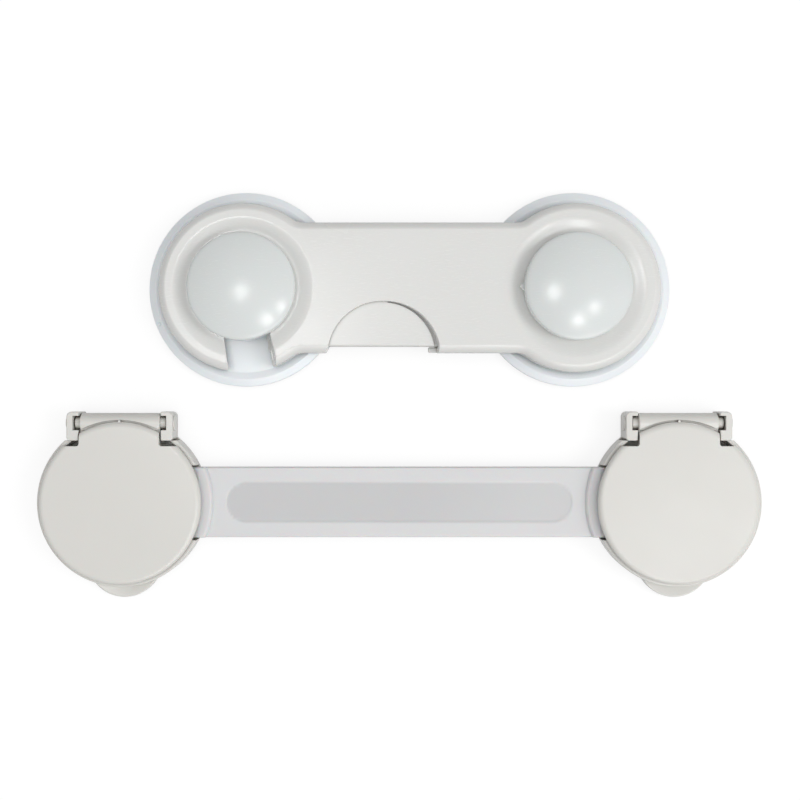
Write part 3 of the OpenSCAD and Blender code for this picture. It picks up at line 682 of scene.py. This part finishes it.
def dishCutter(name, at):
    b = bar
    rise, reach = b["top"] - b["dishFloor"], b["dishOuter"] - b["dishInner"]
    slope = []
    for k in range(b["dishParts"] + 1):
        t = k / b["dishParts"]
        slope.append((b["dishInner"] + reach * t, b["dishFloor"] + rise * smoothStep(t) + clear / 5))
    high = b["top"] + over
    return lathe(name, [(0, slope[0][1])] + slope + [(b["dishOuter"] + lap / 2, high), (0, high)], at, 192)


def mouthCutter():
    b = bar
    (nearFoot, nearFace), (farFoot, farFace) = b["mouthNear"], b["mouthFar"]
    levels = [(b["bottom"] - over, 0, 0), (b["bottom"], 0, 0)]
    levels += [(b["top"] - depth, share, flare) for depth, share, flare in b["mouthLip"]]
    rings = []
    for z, share, flare in levels:
        near = nearFoot + (nearFace - nearFoot) * share + flare
        farther = farFoot + (farFace - farFoot) * share + flare
        outline = mouthOutline(mouthIn - near, mouthOut + farther, b["mouthOpen"], b["tipRadius"])
        rings.append(raised(outline, z))
    return loft("mouth", rings)


def windowCutter():
    b, w = bar, window
    steps = 160
    levels = [(b["faceUnder"] - over, w["draftLow"], 0), (b["faceUnder"], w["draftLow"], 0)]
    levels += [(b["top"] - depth, draft, flare) for depth, draft, flare in w["lip"]]
    rings = []
    for z, draft, flare in levels:
        ring = []
        for k in range(steps):
            a = 2 * math.pi * k / steps
            r = w["radius"] + flare + draft * w["draft"] * max(0.0, math.cos(a)) ** w["draftPower"]
            ring.append((w["x"] + r * math.cos(a), w["y"] + r * math.sin(a), z))
        rings.append(ring)
    return loft("window", rings)


# The open front, through the bar's lower side wall
def frontCutter():
    b, w = bar, window
    left, right = w["x"] - w["halfFront"], w["x"] + w["halfFront"]
    reach = -b["halfWidth"] - over
    low, high = w["draftLow"], 1
    rings = []
    for z, draft in ((b["bottom"] - over, low), (b["faceUnder"] - w["frontLow"], low), (b["top"], high),
                     (b["top"] + over, high)):
        edge = right + draft * (w["draft"] - w["frontPlay"])
        outline = [(left, w["front"]), (left - w["slant"], reach), (edge, reach), (edge, w["front"])]
        rings.append(raised(outline, z))
    return loft("front", rings)


def makeBar():
    b, w, v = bar, window, lever
    low, under = b["plateTop"], b["dishUnder"]
    shell = fillShell(makeShell())
    carve(shell, dishCutter("dishCutterA", (0, 0)), dishCutter("dishCutterB", hookAt),
          post("bore", (0, 0), b["boreRadius"], 0, tall, 96),
          post("hookBore", hookAt, b["hookRadius"], 0, tall, 96),
          mouthCutter(), windowCutter(), frontCutter(),
          block("noseWindow", (*v["noseFrom"], low), (*v["noseTo"], low + v["noseHeight"])),
          post("pinSeat", v["pinAt"], v["pinRadius"], under - over, under + v["pinDepth"], 32))
    for spot in b["bosses"]:
        carve(shell, post("bossHole", spot, b["bossHole"], low - over, b["bossHoleTop"], 32))
    right = w["x"] + w["halfFront"]
    return weld(shell, block("sill", (right - w["sillIn"], w["sillFront"], b["bottom"] + lap / 2),
                             (right + w["sillOut"], w["sillBack"], w["sillTop"]), w["sillEdge"], 3))


finish(place(makeBar(), setOut["pivotX"], setOut["barY"]), "arm", "barPlastic", "arm_shell")
print("bar made")


# Release button: a half-round cup with a plain flat front

button = {
    "radius": 17.1, "bottom": 5.7, "top": 8.7, "plate": 1.6, "wall": 1.4, "edge": 0.6,
    # lower shelf along the right, which leaves a gap beside the window's wall
    "stepRadius": 15.45, "stepSoft": 0.2, "stepFloor": 7.5, "stepTurn": 84,
    "stepLip": ((0.25, 0), (0.07, 0.3), (-clear, 1), (-over, 1.2)),  # depth, share of the soft edge
    "pegLength": 2.2, "pegRadius": 0.88, "pegEdge": 0.2, "pegAhead": 0.4, "pegHeight": 7.2,
}


def dOutline(radius, front, count=72):
    reach = math.asin((front - window["y"]) / radius)
    return arcPoints(window["x"], window["y"], radius, reach, math.pi - reach, count)


def stepCutter():
    k, x, y = button, window["x"], window["y"]
    turn, parts = math.radians(k["stepTurn"]), 48
    rings = []
    for z, lean in [(k["stepFloor"], 0)] + [(k["top"] - depth, share) for depth, share in k["stepLip"]]:
        inner = arcPoints(x, y, k["stepRadius"] - lean * k["stepSoft"], 0, turn, parts)
        rings.append(raised(inner + arcPoints(x, y, k["radius"] + over, turn, 0, parts), z))
    return loft("step", rings)


def makePeg():
    k = button
    peg = crossBar("peg", 0, 0, k["pegLength"], k["pegRadius"], k["pegEdge"], 32)
    at = (window["x"], window["y"] + k["radius"] + k["pegAhead"], k["pegHeight"])
    peg.data.transform(Matrix.Translation(at) @ Matrix.Rotation(math.pi / 2, 4, "Z"))
    return peg


def makeButton():
    k, front = button, window["front"]
    cup = loft("releaseButton", [raised(dOutline(k["radius"] - depth, front + depth), z)
                                 for depth, z in roundedLevels(k["bottom"], k["top"], k["edge"], 5)])
    hollow = prism("hollow", dOutline(k["radius"] - k["wall"], front + k["wall"]),
                   k["bottom"] - over, k["top"] - k["plate"])
    return weld(carve(cup, hollow, stepCutter()), makePeg())


finish(place(makeButton(), setOut["pivotX"], setOut["barY"]), "button", "barPlastic", "release_button")
print("release button made")


# Return spring between the button's peg and the bar's seat, with a closed turn at each end

spring = {
    "coilRadius": 1.25, "wireRadius": 0.22, "turns": 8, "length": 11.0, "height": button["pegHeight"],
    "play": 0.05, "perTurn": 28, "sides": 10,
}


def makeSpring():
    s = spring
    lead = s["wireRadius"] + s["play"]
    closed = 2 * s["wireRadius"] + clear  # rise of a closed turn
    pitch = (s["length"] - 2 * lead - 2 * closed) / (s["turns"] - 2)
    rings = []
    for i in range(s["turns"] * s["perTurn"] + 1):
        turned = i / s["perTurn"]
        openTurns = min(max(turned - 1, 0), s["turns"] - 2)
        along = lead + pitch * openTurns + closed * (turned - openTurns)
        a = 2 * math.pi * turned
        ring = []
        for k in range(s["sides"]):
            b = 2 * math.pi * k / s["sides"]
            r = s["coilRadius"] + s["wireRadius"] * math.cos(b)
            ring.append((window["x"] + r * math.cos(a),
                         window["y"] + button["radius"] + along + s["wireRadius"] * math.sin(b),
                         s["height"] + r * math.sin(a)))
        rings.append(ring)
    return loft("latchSpring", rings)


springPiece = place(makeSpring(), setOut["pivotX"], setOut["barY"])
finish(springPiece, None, "zincSteel", "latch_spring", steady=False)
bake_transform(springPiece)
print("return spring made")


# Heads of the strap lock, in the left one's own millimetres: the strap leaves at +X, the hinge is at +Y

head = {
    "radius": 24.4, "bottom": 1.0, "floor": 2.6, "wallTop": 7.2, "wall": 1.5, "exitHalf": 10.9,
    "hingeY": 23.2, "hingeZ": 5.85,
    "earIn": 11.85, "earWidth": 3.5, "earFront": 5.1, "earBack": 3.3, "earTop": 8.75, "earEdge": 0.35,
    "footFront": 2, "footBack": 2.5, "footInset": 0.3, "footEdge": 0.2,
    "earBossRadius": 2.3, "earBossProud": 0.35, "earBossEdge": 0.25, "slotPlay": 0.25, "barrelPlay": 0.15,
    "bossRadius": 4.0, "bossHoleFloor": 1.6,
    "tabRadius": 11.0, "tabY": -17.1, "lipHeight": 0.6, "lipWidth": 3.5,
    "catchPlay": 0.4, "catchDeep": 3, "catchLow": 4.3, "catchHigh": 5.5,  # window for the lid's tongue
}
lid = {
    "radius": 23.4, "bottom": 7.7, "top": 9.4, "edgeWide": 1.6, "edgeHigh": 1.1, "edgeParts": 10,
    "footEdge": 0.15, "notchY": 16.5, "notchSoft": 0.8,
    "barrelRadius": 2.9, "barrelLength": 23.0, "barrelEdge": 0.3,
    "stubRadius": 1.85, "stubLength": 1.7, "stubPlay": 0.08, "stubEdge": 0.2,
    "ringOuter": 14.0, "ringInner": 12.5, "ringBottom": 5.2,
    "grooveWide": 0.7, "grooveFloor": 7.95, "grooveLean": 0.2,  # sets the barrel off from the lid's arc
    "pipOut": 0.3, "pipRadius": 0.35, "pipTop": 8.9,  # where the plastic was fed in
    "tongueY": -22.5, "tongueHalf": 4.0, "tongueThick": 1.2, "tongueBottom": 4.3,
    "noseProud": 0.2, "noseDeep": 0.6, "noseLow": 4.5, "noseHigh": 5.3, "noseEdge": 0.08,
}


# Floor plate, rim wall with its gaps for the hinge and the strap, and the thumb tab
def makeHeadPlate(name, earOut, front, back):
    h = head
    r, low, floor = h["radius"], h["bottom"], h["floor"]
    inner, foot = r - h["wall"], low + 3 * lap
    plate = lathe(name, soften([(0, low, 0), (r, low, 0.3), (r, floor, 0.25), (0, floor, 0)]), steps=192)
    wall = lathe("wall", soften([(inner, foot, 0), (r, foot, 0), (r, h["wallTop"], 0.4),
                                 (inner, h["wallTop"], 0.3)]), steps=192)
    carve(wall, block("hingeGap", (-earOut - over, front, floor), (earOut + over, back + over, tall)),
          block("strapGap", (0, -h["exitHalf"], floor), (r + over, h["exitHalf"], tall)))
    tab = lathe("tab", soften([(0, low, 0), (h["tabRadius"], low, 0.3),
                               (h["tabRadius"], floor + h["lipHeight"], 0.4),
                               (h["tabRadius"] - h["lipWidth"], floor + lap, 0), (0, floor + lap / 2, 0)]),
                (0, h["tabY"]), 128)
    carve(tab, post("clearFloor", (0, 0), r - h["wall"] / 2, floor - 3 * lap, tall, 128))
    return weld(plate, wall, tab)


def makeEar(side, earOut, front, back):
    h = head
    inner, outer = side * h["earIn"], side * earOut
    outline = soften([(inner, front, 0.4), (outer, front, 1.0), (outer, back, 1.5), (inner, back, 0.4)], 6)
    return prism("ear", outline, h["bottom"] + clear, h["earTop"], h["earEdge"])


def makeHeadBase(name):
    h, d = head, lid
    floor, y, z = h["floor"], h["hingeY"], h["hingeZ"]
    earOut, front, back = h["earIn"] + h["earWidth"], y - h["earFront"], y + h["earBack"]
    footHalf = earOut - h["footInset"]
    plate = makeHeadPlate(name, earOut, front, back)
    weld(plate,
         block("earFoot", (-footHalf, front - h["footFront"], h["bottom"] + lap / 2),
               (footHalf, y + h["footBack"], floor + lap), h["footEdge"]),
         makeEar(-1, earOut, front, back), makeEar(1, earOut, front, back),
         crossBar("earBosses", y, z, 2 * (earOut + h["earBossProud"]), h["earBossRadius"],
                  h["earBossEdge"]),
         lathe("boss", soften([(0, floor - 5 * lap, 0), (h["bossRadius"], floor - 5 * lap, 0),
                               (h["bossRadius"], h["wallTop"], 0.3), (0, h["wallTop"], 0)]), steps=64))
    carve(plate, block("barrelRoom", (-h["earIn"], front - over, floor + h["barrelPlay"]),
                       (h["earIn"], back + over, tall)))
    socketEnd, socketRadius = h["earIn"] + d["stubLength"], d["stubRadius"] + d["stubPlay"]
    half = d["stubRadius"] + h["slotPlay"]
    for side in (-1, 1):
        socket = crossBar("socket", y, z, socketEnd - h["earIn"] + over, socketRadius, 0)
        socket.data.transform(Matrix.Translation((side * (h["earIn"] + socketEnd - over) / 2, 0, 0)))
        lows, highs = sorted((side * (h["earIn"] - over), side * socketEnd))
        carve(plate, socket, block("snapSlot", (lows, y - half, z), (highs, y + half, h["earTop"] + over)))
    catchHalf = d["tongueHalf"] + h["catchPlay"]
    return carve(plate, post("bossHole", (0, 0), h["bossRadius"] / 2, floor + h["bossHoleFloor"], tall, 48),
                 block("tongueWindow", (-catchHalf, -h["radius"] - over, h["catchLow"]),
                       (catchHalf, -h["radius"] + h["catchDeep"], h["catchHigh"])))


def makeLidPlate(name):
    d = lid
    r, low = d["radius"], d["bottom"]
    turns = [math.pi / 2 * k / d["edgeParts"] for k in range(d["edgeParts"] + 1)]
    rim = [(r - d["edgeWide"] * (1 - math.cos(a)), d["top"] - d["edgeHigh"] * (1 - math.sin(a)))
           for a in turns]
    foot = [(0, low), (r - d["footEdge"], low), (r, low + d["footEdge"])]
    plate = lathe(name, foot + rim + [(0, d["top"])], steps=192)
    for side in (-1, 1):
        near, far, y = side * d["barrelLength"] / 2, side * wide, d["notchY"]
        corners = [(near, y, d["notchSoft"]), (far, y, 0), (far, wide, 0), (near, wide, 0)]
        carve(plate, prism("notch", soften(corners, 5), low - over, d["top"] + over))
    return plate


def makeLid(name):
    h, d = head, lid
    y, z, half, under = h["hingeY"], h["hingeZ"], d["barrelLength"] / 2, d["bottom"] + lap / 2
    plate = makeLidPlate(name)
    ringWall = lathe("ringWall", soften([
        (d["ringInner"], d["ringBottom"], 0.2), (d["ringOuter"], d["ringBottom"], 0.2),
        (d["ringOuter"], under, 0), (d["ringInner"], under, 0)]), steps=128)
    tongue = block("tongue", (-d["tongueHalf"], d["tongueY"], d["tongueBottom"]),
                   (d["tongueHalf"], d["tongueY"] + d["tongueThick"], under))
    nose = block("nose", (-d["tongueHalf"], d["tongueY"] - d["noseProud"], d["noseLow"]),
                 (d["tongueHalf"], d["tongueY"] + d["noseDeep"], d["noseHigh"]), d["noseEdge"], 1)
    weld(plate, block("web", (-half, y - d["barrelRadius"], z), (half, y, under)),
         crossBar("barrel", y, z, d["barrelLength"], d["barrelRadius"], d["barrelEdge"], 96),
         crossBar("stubs", y, z, 2 * (half + d["stubLength"]), d["stubRadius"], d["stubEdge"], 48),
         ringWall, tongue, nose)
    edge, grooveOut = d["radius"], d["radius"] + d["grooveWide"]
    carve(plate, lathe("arcGroove", [(edge, d["grooveFloor"]), (grooveOut, d["grooveFloor"]),
                                     (grooveOut + d["grooveLean"], tall), (edge, tall)], steps=192))
    return weld(plate, post("gatePip", (0, edge + d["pipOut"]), d["pipRadius"], d["grooveFloor"] - 3 * lap,
                            d["pipTop"], 20))


for side, word, baseBody, lidBody in ((1, "left", "mounting", "left_cover"),
                                      (-1, "right", "right_head", "right_cover")):
    x, y = -side * setOut["headX"], setOut["strapY"]
    finish(place(makeHeadBase(word + "HeadBase"), x, y, side), baseBody, "lidPlastic", word + "_base")
    finish(place(makeLid(word + "Lid"), x, y, side), lidBody, "lidPlastic", word + "_lid")
    pad = makePad(word + "HeadPad", foam["headRadius"])
    finish(place(pad, x, y, side), baseBody, "padFoam", word + "_pad")
print("strap lock heads made")


# Strap: a frosted band, sunken between its borders, with an arched ridge outside each lid

strap = {
    "half": 10.3, "low": 2.9, "high": 4.9, "edge": 0.55,
    "panelLength": 101.0, "panelWidth": 11.6, "panelDepth": 0.2, "panelSoft": 0.5, "panelEndSoft": 0.2,
    "ridgeRadius": 25.55, "ridgeHalf": 0.85, "ridgeHeight": 1.1, "ridgePower": 0.8,
    "shoulder": 2.8, "shoulderSoft": 1.2, "eyeRadius": 14.0, "eyeHole": 4.3,
    "paintedLightFade": 0.4, "paintedLightFadeLength": 50,  # painted light: the panel's darker tone weakens by this share over this length to the right, so the right part is painted lighter as if light fell on it there
    "bendHalf": 20,  # half the length of the middle stretch
    # stretches with a finer mesh: the panel's side border, its ends, and the ridge
    "sideFine": (5.2, 6.4), "endFine": (44, 51.2), "ridgeFine": (54.4, 58.6),
}


def panelShare(x, y):
    r = strap["panelWidth"] / 2
    past = max(0.0, abs(x) - (strap["panelLength"] / 2 - r))
    soft = strap["panelSoft"] + (strap["panelEndSoft"] - strap["panelSoft"]) * smoothStep(past / r)
    return smoothStep(0.5 - (math.hypot(past, y) - r) / (2 * soft))


def ridgeShare(x, y):
    t = (math.hypot(setOut["headX"] - abs(x), y) - strap["ridgeRadius"]) / strap["ridgeHalf"]
    if t < 0:
        return smoothStep(1 + (t * strap["ridgeHalf"] + strap["shoulder"]) / strap["shoulderSoft"])
    return math.sqrt(1 - t * t) ** strap["ridgePower"] if t < 1 else 0.0


# Places on both sides of zero, from stretches of (from, to, how many)
def stations(stretches):
    out = []
    for start, end, count in stretches:
        out += [start + (end - start) * k / count for k in range(count)]
    out.append(stretches[-1][1])
    return [-p for p in reversed(out[1:])] + out


def strapPoint(x, y, upper):
    s = strap
    t = max(0.0, (abs(y) - (s["half"] - s["edge"])) / s["edge"])
    drop = s["edge"] * (1 - math.sqrt(max(0.0, 1 - t * t)))
    sink = s["panelDepth"] * panelShare(x, y)
    if upper:
        return (x, y, s["high"] - drop - sink + s["ridgeHeight"] * ridgeShare(x, y))
    return (x, y, s["low"] + drop + sink)


def makeStrap():
    s = strap
    low, high, hole, r = s["low"], s["high"], s["eyeHole"], s["eyeRadius"]
    endFrom, endTo = s["endFine"]
    ridgeFrom, ridgeTo = s["ridgeFine"]
    sideFrom, sideTo = s["sideFine"]
    xs = stations([(0, endFrom, 44), (endFrom, endTo, 24), (endTo, ridgeFrom, 4), (ridgeFrom, ridgeTo, 24),
                   (ridgeTo, setOut["headX"], 14)])
    edgeFrom = s["half"] - s["edge"]
    ys = stations([(0, sideFrom, 6), (sideFrom, sideTo, 6), (sideTo, edgeFrom, 5),
                   (edgeFrom, s["half"], 5)])
    section = [(y, True) for y in ys] + [(y, False) for y in reversed(ys)]
    band = loft("strapBand", [[strapPoint(x, y, upper) for y, upper in section] for x in xs])
    eyes = [(side * setOut["headX"], 0) for side in (-1, 1)]
    for at in eyes:
        ring = soften([(hole, low, 0.2), (r, low, 0.4), (r, high, 0.4), (hole, high, 0.2)])
        weld(band, lathe("eye", ring, at, 128))
    return carve(band, *[post("eyeHole", at, hole, 0, tall, 64) for at in eyes])


strapPiece = makeStrap()
mask = strapPiece.data.attributes.new("panelToneAndPaintedLight", "FLOAT", "POINT")
# panel mask, weakened towards the right as painted light
for v in strapPiece.data.vertices:
    paintedLightening = strap["paintedLightFade"] * smoothStep(v.co.x / strap["paintedLightFadeLength"])
    mask.data[v.index].value = panelShare(v.co.x, v.co.y) * (1 - paintedLightening)
place(strapPiece, 0, setOut["strapY"])
finish(strapPiece, None, "strapPlastic", "strap", steady=False)
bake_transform(strapPiece)
print("strap made")


# Floor, light and camera

room = {
    "floorHalf": 3,  # metres
    "floorDrop": 0.00002,
    "floorShare": 0.80,  # of the floor's white that doesn't depend on light, so that shadows stay soft
    "floorLit": 0.24,
    "floorBounce": (110, 110, 110),  # how light the floor is to the pieces over it
    "worldStrength": 0.40,
    "worldLean": (0.08, -0.20, 0.56),  # how much more light comes from +X, from +Y and from overhead
    "lamps": (
        # name, tilt in X and in Y in degrees, distance and size in metres, width over size,
        # share of the light, what it gives
        ("lampLeft", -9.3, 2.2, 1.2, 0.13, 1.7, 0.06, "shine"),
        ("lampFront", 11.5, -20.3, 1.2, 0.12, 1.0, 0.10, "shine"),
        ("lampRight", 23.7, -10.3, 1.2, 0.10, 1.0, 0.07, "shine"),
        ("lampSouth", 22.6, -45.8, 1.2, 0.34, 3.4, 0.07, "shine"),
        ("lampBroad", 48.0, -10.0, 1.4, 0.68, 1.0, 0.27, "light"),
    ),
}
view = {"place": (0.0002, -0.0015, 0.303), "lens": 45.9, "sensor": 36.0, "near": 0.01, "far": 20}
white = (1, 1, 1, 1)


# White to the camera and in reflections, darker to the light that it throws back up
def makeFloor():
    bm = bmesh.new()
    bmesh.ops.create_grid(bm, x_segments=1, y_segments=1, size=room["floorHalf"])
    floor = solid("floor", bm)
    floor.location.z = -room["floorDrop"]
    material = bpy.data.materials.new("whiteFloor")
    material.use_nodes = True
    tree = material.node_tree
    tree.nodes.clear()
    lit = addNode(tree, "BsdfDiffuse", Color=tone(*room["floorBounce"]))
    part = addNode(tree, "BsdfDiffuse", Color=(room["floorLit"],) * 3 + (1,))
    glow = addNode(tree, "Emission", Color=white, Strength=room["floorShare"])
    seen = addNode(tree, "AddShader")
    link(part.outputs[0], seen.inputs[0])
    link(glow.outputs[0], seen.inputs[1])
    path = addNode(tree, "LightPath")
    mirrored = mathNode(tree, "MAXIMUM", path.outputs["Is Glossy Ray"], path.outputs["Is Transmission Ray"])
    eye = mathNode(tree, "MAXIMUM", path.outputs["Is Camera Ray"], mirrored)
    mix = addNode(tree, "MixShader")
    out = addNode(tree, "OutputMaterial")
    link(eye, mix.inputs[0])
    link(lit.outputs[0], mix.inputs[1])
    link(seen.outputs[0], mix.inputs[2])
    link(mix.outputs[0], out.inputs["Surface"])
    floor.data.materials.append(material)


def makeWorld():
    world = bpy.data.worlds.new("paleStudio")
    bpy.context.scene.world = world
    world.use_nodes = True
    tree = world.node_tree
    sky = tree.nodes["Background"]
    sky.inputs["Color"].default_value = white
    way = addNode(tree, "SeparateXYZ")
    link(addNode(tree, "TexCoord").outputs["Generated"], way.inputs[0])
    lean = [mathNode(tree, "MULTIPLY", way.outputs[k], share) for k, share in enumerate(room["worldLean"])]
    sideways = mathNode(tree, "ADD", lean[0], lean[1])
    strength = mathNode(tree, "ADD", mathNode(tree, "ADD", sideways, lean[2]), room["worldStrength"])
    link(strength, sky.inputs["Strength"])
    backdrop = addNode(tree, "Background", Color=white, Strength=1.0)
    path = addNode(tree, "LightPath")
    mix = addNode(tree, "MixShader")
    link(path.outputs["Is Camera Ray"], mix.inputs[0])
    link(sky.outputs[0], mix.inputs[1])
    link(backdrop.outputs[0], mix.inputs[2])
    link(mix.outputs[0], tree.nodes["World Output"].inputs["Surface"])


def makeLamps():
    for name, tiltX, tiltY, distance, size, stretch, share, gives in room["lamps"]:
        lamp = bpy.data.lights.new(name, "AREA")
        lamp.shape = "ELLIPSE"
        lamp.size, lamp.size_y = size * stretch, size
        lamp.energy = share * stretch * math.pi ** 2 * distance ** 2
        obj = addObject(name, lamp)
        way = Vector((math.tan(math.radians(tiltX)), math.tan(math.radians(tiltY)), 1)).normalized()
        obj.location = way * distance
        obj.rotation_euler = way.to_track_quat("Z", "Y").to_euler()
        obj.visible_glossy, obj.visible_diffuse = gives == "shine", gives == "light"


def makeCamera():
    camera = addObject("photoCamera", bpy.data.cameras.new("photoCamera"))
    camera.data.lens, camera.data.sensor_width = view["lens"], view["sensor"]
    camera.data.clip_start, camera.data.clip_end = view["near"], view["far"]
    camera.location = view["place"]
    bpy.context.scene.camera = camera


makeFloor()
makeWorld()
makeLamps()
makeCamera()
bpy.context.scene.view_settings.view_transform = "Standard"
print("floor, light and camera set")
